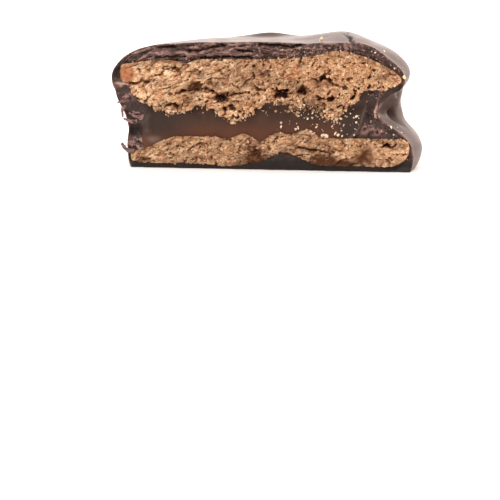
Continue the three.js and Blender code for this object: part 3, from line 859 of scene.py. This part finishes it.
class Shader:
    """A material under construction. Every input is a number, a colour or another node's output."""

    def __init__(self, name):
        self.material = bpy.data.materials.new(name)
        self.material.use_nodes = True
        self.tree = self.material.node_tree
        self.surface = self.tree.nodes["Principled BSDF"]
        place = self.node("ShaderNodeTexCoord").outputs["Object"]
        self.place = self.node("ShaderNodeVectorMath", "SCALE", Vector=place, Scale=MM_PER_METRE).outputs[0]

    def put(self, socket, value):
        """Sets an input, or links it where the value comes from another node."""
        if isinstance(value, bpy.types.NodeSocket):
            self.tree.links.new(value, socket)
        else:
            socket.default_value = value

    def node(self, kind, operation=None, settings=(), **inputs):
        """Adds a node. Inputs go by name, with _ for a space, or by number, as _0."""
        made = self.tree.nodes.new(kind)
        if operation:
            made.operation = operation
        for name, value in dict(settings).items():
            setattr(made, name, value)
        for name, value in inputs.items():
            self.put(made.inputs[int(name[1:]) if name[0] == "_" else name.replace("_", " ")], value)
        return made

    def maths(self, operation, a, b=0.0):
        return self.node("ShaderNodeMath", operation, _0=a, _1=b).outputs[0]

    def spread(self, value, low, high, to_low=0.0, to_high=1.0):
        """Stretches low..high to to_low..to_high, smoothly and clamped."""
        kind = {"interpolation_type": "SMOOTHSTEP"}
        inputs = {"Value": value, "From_Min": low, "From_Max": high, "To_Min": to_low, "To_Max": to_high}
        return self.node("ShaderNodeMapRange", settings=kind, **inputs).outputs[0]

    def mix(self, share, a, b):
        return self.node("ShaderNodeMix", settings={"data_type": "RGBA"}, _0=share, _6=a, _7=b).outputs[2]

    def under(self, colour, *layers):
        """The colour with others over it, each (share, red, green, blue)."""
        for share, *top in layers:
            colour = self.mix(share, colour, linear(*top))
        return colour

    def noise(self, size, detail=3.0, rough=0.5, stretch=(1, 1, 1)):
        """Noise with features of about `size` millimetres, 0 to 1."""
        place = self.node("ShaderNodeVectorMath", "MULTIPLY", _0=self.place, _1=stretch).outputs[0]
        inputs = {"Vector": place, "Scale": 1 / size, "Detail": detail, "Roughness": rough}
        return self.node("ShaderNodeTexNoise", **inputs).outputs[0]

    def painted(self, name):
        """What paint() stored under the name."""
        return self.node("ShaderNodeAttribute", settings={"attribute_name": name}).outputs["Fac"]

    def bump(self, height, distance, strength=1.0):
        """Fine relief; the distance is in millimetres."""
        inputs = {"Height": height, "Distance": distance / MM_PER_METRE, "Strength": strength}
        self.put(self.surface.inputs["Normal"], self.node("ShaderNodeBump", **inputs).outputs[0])

    def set(self, **inputs):
        """Sets the surface's inputs, and gives the finished material."""
        for name, value in inputs.items():
            self.put(self.surface.inputs[name.replace("_", " ")], value)
        return self.material


def crumb_colour(s):
    """Baked crumb: tan with paler and browner grains, the painted tone choosing between them."""
    tone = s.painted("tone")
    return s.under(
        s.mix(s.spread(s.noise(1.4, 4), 0.38, 0.62), linear(211, 167, 125), linear(203, 152, 115)),
        (s.spread(s.noise(3.4, 3), 0.52, 0.7, 0, 0.65), 191, 128, 74),
        (s.spread(tone, 0.5, 1.0), 246, 212, 174),
        (s.spread(tone, 0.42, 0.05, 0, 0.9), 140, 84, 48),
        (s.spread(s.noise(0.3, 3, 0.6), 0.5, 0.72, 0, 0.55), 242, 206, 167),
    )


def stained(s, colour):
    """The painted stains, with some painted shade among them, a little blotchy, over the colour of the crumb.
    """
    share = s.maths("MULTIPLY", s.painted("stain"), s.spread(s.noise(0.9, 3), 0.25, 0.6, 0.4, 1))
    return s.under(colour, (share, 100, 63, 41))


def biscuit_material():
    s = Shader("biscuit")
    # Painted shade in the recesses: brown where shallow, near black where deep
    cavity = s.maths("ADD", s.painted("cavity"), s.spread(s.noise(0.5, 3), 0.3, 0.7, -0.15, 0.15))
    colour = s.under(
        crumb_colour(s),
        (s.spread(cavity, 0.2, 0.75, 0, 0.88), 122, 72, 44),
        (s.spread(cavity, 0.75, 1.3, 0, 0.95), 54, 32, 28),
    )
    crust = s.mix(s.spread(s.noise(0.7, 4, 0.6), 0.35, 0.65), linear(148, 88, 56), linear(180, 116, 76))
    colour = s.mix(s.spread(s.painted("crust"), 0.2, 0.8, 0, 0.9), colour, crust)
    s.bump(s.noise(0.16, 3, 0.6), 0.05, 0.6)
    return s.set(Base_Color=stained(s, colour), Roughness=0.9, Specular_IOR_Level=0.15)


def grain_material():
    s = Shader("biscuit_grains")
    s.bump(s.noise(0.14, 3, 0.6), 0.04, 0.6)
    return s.set(Base_Color=stained(s, crumb_colour(s)), Roughness=0.9, Specular_IOR_Level=0.15)


def crumb_material():
    s = Shader("loose_crumbs")
    tone = s.painted("tone")
    colour = s.under(
        s.mix(s.spread(tone, 0, 0.45), linear(170, 116, 86), linear(222, 190, 160)),
        (s.spread(tone, 0.5, 0.8), 246, 226, 198),
        (s.spread(tone, 0.88, 0.98), 244, 222, 168),
        (s.spread(s.noise(0.3, 3), 0.5, 0.75, 0, 0.35), 190, 140, 100),
    )
    s.bump(s.noise(0.14, 3, 0.6), 0.04, 0.6)
    return s.set(Base_Color=colour, Roughness=0.85, Specular_IOR_Level=0.2)


def filling_material():
    s = Shader("dulce_de_leche")
    smear, bloom = s.noise(2.2, 4, 0.55, (1, 1, 0.45)), s.painted("bloom")
    height = s.node("ShaderNodeSeparateXYZ", Vector=s.place).outputs[2]
    height = s.maths("ADD", height, s.spread(smear, 0.2, 0.8, -1, 1))
    colour = s.under(
        s.mix(s.spread(smear, 0.3, 0.7), linear(54, 33, 23), linear(76, 48, 33)),
        (s.spread(height, 10.5, 6.5, 0, 0.7), 100, 56, 33),
        # Painted shade on the ends, then painted highlights on the curled edges with the smudge
        (s.painted("grey"), 55, 37, 29),
        (s.maths("MULTIPLY", bloom, 0.8), 128, 108, 100),
    )
    s.bump(s.noise(0.7, 3, 0.5, (1, 1, 0.5)), 0.05, 0.4)
    rough = s.maths("ADD", s.spread(smear, 0.3, 0.7, 0.42, 0.55), s.maths("MULTIPLY", bloom, 0.2))
    return s.set(Base_Color=colour, Roughness=rough, Specular_IOR_Level=0.25)


def chocolate_material():
    s = Shader("chocolate")
    broken = s.painted("broken")
    outside = s.mix(s.spread(s.noise(6, 3), 0.35, 0.65), linear(44, 28, 23), linear(56, 36, 30))
    flakes = s.noise(1.1, 4, 0.6, (0.35, 1, 1.4))
    inside = s.under(
        s.mix(s.spread(flakes, 0.35, 0.65), linear(44, 31, 29), linear(66, 47, 43)),
        # Painted highlights with dust and paler places, then painted shade with some darker places
        (s.painted("lit"), 190, 146, 134),
        (s.painted("dark"), 14, 10, 10),
        (s.maths("MULTIPLY", s.painted("bubbly"), 0.7), 140, 98, 90),
        (s.painted("rim"), 224, 176, 156),
    )
    colour = s.mix(broken, outside, inside)
    satin = s.spread(s.noise(3.5, 4), 0.3, 0.7, 0.3, 0.4)
    rough = s.node("ShaderNodeMix", _0=broken, _2=satin, _3=0.6).outputs[0]
    grain = s.maths("MULTIPLY", s.noise(0.25, 3), s.maths("MULTIPLY", broken, 0.8))
    s.bump(s.maths("ADD", s.noise(0.9, 4, 0.55), grain), 0.05, 0.4)
    sheen = {"Sheen_Weight": 0.14, "Sheen_Roughness": 0.5, "Sheen_Tint": linear(255, 195, 165)}
    shine = {"Specular_IOR_Level": 0.45, "Specular_Tint": (1, 0.86, 0.79, 1)}
    return s.set(Base_Color=colour, Roughness=rough, **shine, **sheen)


BISCUIT = biscuit_material()
GRAINS = grain_material()
CRUMBS = crumb_material()
DULCE_DE_LECHE = filling_material()
CHOCOLATE = chocolate_material()

# ---- The four layers


def on_break(y, look, tolerance=0.02):
    """Which points lie on the break itself."""
    return np.abs(y - look.depth) < tolerance


for place, layer, z_range in (("upper", UPPER, (9, 24.2)), ("lower", LOWER, (0.2, 9))):
    relief = partial(biscuit_break, layer=layer)
    biscuit = combine(slab(layer), behind(relief, (-31, 31), z_range, 0.12), "INTERSECT")
    x, y, z = corners(biscuit)
    look = relief(x, z)
    paint(biscuit, cavity=look.cavity, crust=look.crust, stain=look.stain, tone=look.tone)
    finish_piece(biscuit, f"{place}_crumb", BISCUIT, [f"{place}_biscuit"], sharp=75)

filling = combine(slab(FILLING), behind(filling_break, (-26, 24), (4, 16.5), 0.22), "INTERSECT")
x, y, z = corners(filling)
look = filling_break(x, z)
paint(filling, bloom=look.bloom * on_break(y, look), grey=look.grey)
finish_piece(filling, "filling", DULCE_DE_LECHE, ["dulce_de_leche"])

coat = combine(coat_form(), behind(coat_break, (-32, 32), (-1, 28), 0.14), "INTERSECT")
for layer in (UPPER, LOWER, FILLING):
    coat = combine(coat, slab(layer, -OVERLAP), "DIFFERENCE")
x, y, z = corners(coat)
look = coat_break(x, z)
paint(coat, broken=on_break(y, look), lit=look.lit, dark=look.dark, bubbly=look.bubbly, rim=look.rim)
finish_piece(coat, "coat", CHOCOLATE, ["chocolate_coat"])
LAYERS = [bpy.data.objects[name] for name in ("upper_crumb", "lower_crumb", "filling", "coat")]

# ---- Grains that stand out of the biscuits, loose crumbs, and shards of chocolate


def inside(layer, x, z, margin=0.0):
    """Whether places on the break lie within a layer, less a margin."""
    level = np.zeros_like(x)
    reach = layer.radius - 0.4 - np.maximum(0, margin)
    return (
        (np.abs(x - layer.shift) < reach)
        & (z < layer.top(x, level) - margin)
        & (z > layer.bottom(x, level) + margin)
    )


FLIGHT = 60  # how far off a crumb's path to the break starts


def landing(x, z):
    """Where crumbs flicked at the break come to rest: the points, and which of them met a layer at all."""
    trees = [BVHTree.FromObject(piece, bpy.context.evaluated_depsgraph_get()) for piece in LAYERS]
    back = Vector(bearing(VIEW_AZIMUTH, VIEW_ELEVATION))
    axis = Vector((*BREAK_AT, 0))
    places, met = [], []
    for place in zip(x, np.zeros_like(x), z):
        start = (Vector(place) + axis + FLIGHT * back) / MM_PER_METRE
        hits = [hit for hit in (tree.ray_cast(start, -back) for tree in trees) if hit[0]]
        met.append(bool(hits))
        if hits:
            places.append(MM_PER_METRE * min(hits, key=lambda hit: hit[3])[0] - axis)
    return np.array(places), np.array(met)


# Rubble under the upper biscuit: x range, how many lumps, how far they reach down
RUBBLE = [((-23, 18), 180, 0.3), ((4.5, 16.5), 110, 0.6), ((2.2, 7.5), 60, 0.9)]


def grains_of_biscuit():
    """Grains all over the breaks of the biscuits, and rubble along the upper one's underside."""
    random = np.random.default_rng(21)
    points, faces, looks, total = [], [], [], 0

    def add(places, size, fine, tone, stain):
        nonlocal total
        p, f, owner = lumps(places, size, 0.5, fine, random)
        points.append(p)
        faces.append(f + total)
        looks.append(np.stack([tone, stain])[:, owner])
        total += len(p)

    for layer, z_range, count, fine, sizes in (
        (UPPER, (9.5, 24), 3800, 1, (0.12, 0.24)),
        (LOWER, (1, 9), 1000, 1, (0.12, 0.24)),
        (UPPER, (9.5, 24), 600, 2, (0.2, 0.38)),
        (LOWER, (1, 9), 280, 2, (0.2, 0.38)),
    ):
        x, z = scatter((-29, 29), z_range, count, random)
        look = biscuit_break(x, z, layer)
        keep = inside(layer, x, z, -0.15) & (look.cavity < 0.55) & (look.crust < 0.3)
        keep &= random.uniform(size=count) < 0.2 + 0.8 * look.sandy
        x, z, depth = x[keep], z[keep], look.depth[keep]
        size = random.uniform(*sizes, len(x))
        tone = np.clip(0.5 * look.tone[keep] + 0.6 * random.uniform(0, 1, len(x)), 0, 1)
        add(np.stack([x, depth + 0.3 * size, z], -1), size, fine, tone, look.stain[keep])
    for x_range, count, reach in RUBBLE:
        x = random.uniform(*x_range, count)
        z = UPPER.bottom(x, np.zeros(count)) - reach * np.minimum(random.exponential(1, count), 2.2)
        places, met = landing(x, z)
        size = 0.12 + 0.28 * random.uniform(0, 1, len(places)) ** 2
        stain = biscuit_break(x[met], z[met], UPPER).stain
        add(places, size, 2, random.uniform(0.2, 1.1, len(places)), stain)
    piece = solid(np.concatenate(points), np.concatenate(faces))
    tone, stain = np.concatenate(looks, axis=1)
    paint(piece, tone=tone, stain=stain)
    finish_piece(piece, "biscuit_grains", GRAINS, sharp=45)


# Crumbs that are easy to make out: x, z, radius, tone
CLEAR_CRUMBS = [
    (22.0, 23.2, 0.26, 0.8),
    (22.6, 22.9, 0.18, 0.8),
    (24.5, 23.3, 0.3, 1.0),
    (26.4, 19.9, 0.3, 0.8),
    (28.2, 18.4, 0.42, 0.95),
    (27.9, 20.0, 0.25, 0.2),
    (25.6, 20.6, 0.16, 0.3),
    (12.3, 25.7, 0.5, 1.0),
    (12.0, 25.2, 0.26, 0.95),
    (18.3, 10.5, 0.3, 0.5),
    (18.8, 9.6, 0.38, 0.95),
    (21.8, 9.7, 0.3, 0.8),
    (25.6, 8.8, 0.27, 0.8),
    (24.7, 7.6, 0.26, 0.7),
    (26.1, 7.3, 0.3, 0.8),
    (27.7, 7.7, 0.16, 0.8),
    (18.4, 7.2, 0.22, 0.3),
    (4.0, 8.7, 0.3, 0.8),
    (7.3, 8.5, 0.4, 0.8),
    (6.9, 8.2, 0.26, 0.7),
    (11.0, 8.6, 0.22, 0.7),
    (12.1, 8.2, 0.16, 0.6),
    (14.2, 8.9, 0.28, 0.8),
    (14.5, 9.2, 0.2, 0.8),
    (12.6, 9.7, 0.25, 0.6),
    (15.8, 10.4, 0.34, 0.6),
    (15.6, 9.4, 0.25, 0.5),
    (15.9, 8.0, 0.24, 0.7),
    (12.4, 7.2, 0.4, 0.7),
    (12.9, 6.9, 0.36, 0.75),
    (12.0, 7.0, 0.3, 0.7),
    (14.7, 7.4, 0.34, 0.75),
    (15.3, 7.1, 0.34, 0.75),
    (16.0, 6.9, 0.3, 0.75),
    (16.8, 6.1, 0.3, 0.6),
    (9.0, 8.0, 0.34, 0.4),
    (9.8, 7.7, 0.3, 0.5),
    (10.4, 7.4, 0.34, 0.5),
    (9.9, 12.3, 0.32, 0.7),
    (10.3, 12.6, 0.22, 0.7),
    (10.4, 11.6, 0.3, 0.75),
    (8.6, 12.9, 0.26, 0.7),
    (10.2, 10.4, 0.3, 0.5),
    (12.0, 11.0, 0.24, 0.6),
    (6.0, 12.4, 0.5, 0.65),
    (6.7, 12.7, 0.34, 0.65),
    (-17.9, 11.4, 0.4, 0.6),
    (-18.6, 11.6, 0.3, 0.65),
    (-16.3, 11.4, 0.3, 0.75),
    (-15.8, 11.2, 0.26, 0.4),
    (-15.9, 12.1, 0.34, 0.75),
    (-3.2, 10.6, 0.4, 0.7),
    (-2.3, 10.9, 0.34, 0.45),
    (0.4, 11.7, 0.25, 0.4),
    (-0.2, 12.4, 0.3, 0.6),
]
# Bands of scattered crumbs: x range, z range, how many, largest radius
STREWN = [
    ((6, 19.5), (10, 13), 46, 0.26),
    ((3, 19), (7.2, 9.8), 26, 0.22),
    ((-22, 6), (10.4, 12.8), 20, 0.2),
    ((18, 28), (6.6, 10), 12, 0.16),
    ((19, 24), (13.5, 16.3), 14, 0.16),
    ((4, 14), (22.3, 23.6), 34, 0.2),
    ((3, 20), (23, 24.3), 18, 0.14),
    ((20, 28.5), (17.5, 23.4), 16, 0.14),
    ((-20, 3), (21.9, 22.8), 20, 0.16),
]


def loose_crumbs():
    """Crumbs that lie on the break, both those placed one by one and those strewn in bands."""
    random = np.random.default_rng(8)
    clear = np.array(CLEAR_CRUMBS)
    x, z, size, tone = ([column] for column in clear.T)
    for x_range, z_range, count, largest in STREWN:
        at_x, at_z = scatter(x_range, z_range, count, random)
        open_ground = ~inside(UPPER, at_x, at_z, 0.4) & ~inside(LOWER, at_x, at_z, 0.4)
        x.append(at_x[open_ground])
        z.append(at_z[open_ground])
        size.append(random.uniform(0.09, 1, open_ground.sum()) ** 1.6 * (largest - 0.08) + 0.08)
        tone.append(random.uniform(0, 0.86, open_ground.sum()))
    x, z, size, tone = map(np.concatenate, (x, z, size, tone))
    places, met = landing(x, z)
    points, faces, owner = lumps(places, 0.88 * size[met], 0.5, 2, random)
    piece = solid(points, faces)
    paint(piece, tone=tone[met][owner])
    finish_piece(piece, "loose_crumbs", CRUMBS, sharp=45)


# Curled shards of chocolate at the broken edge: path from root to tip (x, y, z), width, thickness
SHARDS = [
    ([(-27.6, 0.7, 13.4), (-28.8, 0.3, 13.3), (-29.7, 0.1, 13.1)], 0.8, 0.45),
    ([(-27.6, 0.7, 12.3), (-28.8, 0.2, 11.9), (-28.7, 0.1, 10.1)], 0.9, 0.4),
    ([(-25.9, 0.6, 9.2), (-27.0, 0.0, 9.3), (-28.5, -0.1, 9.9)], 1.0, 0.45),
    ([(-24.8, 0.6, 9.6), (-25.9, 0.0, 10.3), (-27.4, 0.1, 11.0)], 0.7, 0.3),
    ([(-26.9, 0.6, 3.0), (-28.2, 0.0, 3.6), (-29.2, -0.1, 4.9)], 1.5, 0.55),
    ([(22.5, 0.6, 10.4), (22.5, -0.3, 11.7), (22.8, -0.2, 12.9)], 0.6, 0.25),
]


def shards():
    """Each shard is a flat tube along its path, ragged and narrowing to the tip."""
    random = np.random.default_rng(3)
    points, faces = [], []
    for path, width, thick in SHARDS:
        path = np.array(path)
        along = np.linspace(0, 1, 14)
        middle = np.stack([np.interp(along, [0, 0.5, 1], path[:, i]) for i in range(3)], -1)
        middle[1:-1] = 0.5 * middle[1:-1] + 0.25 * (middle[2:] + middle[:-2])
        ahead = np.gradient(middle, axis=0)
        ahead /= np.linalg.norm(ahead, axis=1)[:, None]
        flat = np.cross(ahead, (0.2, 0.9, 0.4))
        flat /= np.linalg.norm(flat, axis=1)[:, None]
        out = np.cross(flat, ahead)
        half = 0.5 * width * (1 - 0.75 * along**1.5) * (1 + random.uniform(-0.3, 0.3, len(along)))
        base = sum(map(len, points))
        turn = np.linspace(0, 2 * np.pi, 10, endpoint=False)
        ring = []
        for a in turn:
            curl = 0.5 * thick * np.sin(a) - 0.25 * thick * np.cos(2 * a) + 0.2 * half * np.cos(a) ** 2
            ring.append(middle + flat * (half * np.cos(a))[:, None] + out * curl[:, None])
        ring = np.stack(ring, 1)
        ring += random.uniform(-0.03, 0.03, ring.shape)
        points.append(ring.reshape(-1, 3))
        here = base + np.arange(ring[..., 0].size).reshape(ring.shape[:2])
        beside = np.roll(here, -1, axis=1)
        faces += np.stack([here[:-1], beside[:-1], beside[1:], here[1:]], -1).reshape(-1, 4).tolist()
        faces += [here[0][::-1].tolist(), here[-1].tolist()]
    points = np.concatenate(points)
    piece = solid(points, faces)
    mottled = random.uniform(-0.1, 0.8, len(points))
    lit, dark = mottled.clip(0), (0.3 - mottled).clip(0)
    paint(piece, broken=np.ones(len(points)), lit=lit, dark=dark, rim=0.4 * (points[:, 0] > 0))
    finish_piece(piece, "shards", CHOCOLATE, sharp=40)


grains_of_biscuit()
loose_crumbs()
shards()

# ---- The studio: a pale floor, soft light and the camera


def stage():
    """A pale floor, which isn't part of the piece."""
    s = Shader("pale_floor")
    pale = s.mix(s.noise(400, 2), linear(240, 240, 240), linear(243, 243, 243))
    mesh = bpy.data.meshes.new("floor")
    mesh.from_pydata([(-4, -4, 0), (4, -4, 0), (4, 4, 0), (-4, 4, 0)], [], [(0, 1, 2, 3)])
    mesh.materials.append(s.set(Base_Color=pale, Roughness=0.9))
    add_object("floor", mesh)


def area_light(name, place, wide, high, radiance, aim=(0, 0, 0.012), colour=(1, 1, 1)):
    """A flat light of a given size and brightness, turned to the piece."""
    light = bpy.data.lights.new(name, "AREA")
    light.color = colour
    light.shape = "RECTANGLE"
    light.size, light.size_y, light.energy = wide, high, radiance * math.pi * wide * high
    lamp = add_object(name, light)
    lamp.location = place
    lamp.rotation_euler = (Vector(aim) - lamp.location).to_track_quat("-Z", "Y").to_euler()


def camera():
    """The viewpoint, from its bearing and distance to the break's middle, and the turn of its axis."""
    middle = Vector((*BREAK_AT, HEIGHT / 2))
    back = Vector(bearing(VIEW_AZIMUTH, VIEW_ELEVATION))
    ahead = -Vector(bearing(AIM_AZIMUTH, AIM_ELEVATION))
    right = ahead.cross(Vector((0, 0, 1))).normalized()
    up = right.cross(ahead)
    right, up = right * math.cos(ROLL) + up * math.sin(ROLL), up * math.cos(ROLL) - right * math.sin(ROLL)
    lens = bpy.data.cameras.new("camera")
    lens.sensor_width, lens.lens = SENSOR, SENSOR * FOCAL_PIXELS / FRAME_PIXELS
    lens.clip_start, lens.clip_end = 0.01, 20
    eye = add_object("camera", lens)
    turn = Matrix((right, up, -ahead)).transposed().to_4x4()
    place = (middle + back * FOCAL_PIXELS / PIXELS_PER_MM) / MM_PER_METRE
    eye.matrix_world = Matrix.Translation(place) @ turn
    bpy.context.scene.camera = eye


def world():
    """A white room that is darker in front of the break, behind the camera."""
    made = bpy.data.worlds.new("studio")
    made.use_nodes = True
    nodes, links = made.node_tree.nodes, made.node_tree.links
    way = nodes.new("ShaderNodeSeparateXYZ")
    fade = nodes.new("ShaderNodeMapRange")
    links.new(nodes.new("ShaderNodeTexCoord").outputs["Generated"], way.inputs[0])
    links.new(way.outputs[1], fade.inputs[0])
    for name, value in (("From Min", -1), ("From Max", 1), ("To Min", 0.12), ("To Max", 0.75)):
        fade.inputs[name].default_value = value
    nodes["Background"].inputs["Color"].default_value = (1, 1, 1, 1)
    links.new(fade.outputs[0], nodes["Background"].inputs["Strength"])
    bpy.context.scene.world = made


stage()
area_light("ceiling", (0, 0.25, 1.3), 2.2, 1.9, 1.6, aim=(0, 0.25, 0), colour=(1, 0.95, 0.92))
area_light("backdrop", (0, 1.5, 0.7), 3, 1.3, 1.5, colour=(1, 0.94, 0.9))
area_light("right", (1.3, 0.2, 0.6), 1.6, 1.1, 5.0, colour=(1, 0.89, 0.82))
area_light("key", (-0.4, -0.55, 0.65), 0.35, 0.35, 12)
camera()
world()
bpy.context.scene.view_settings.view_transform = "Standard"
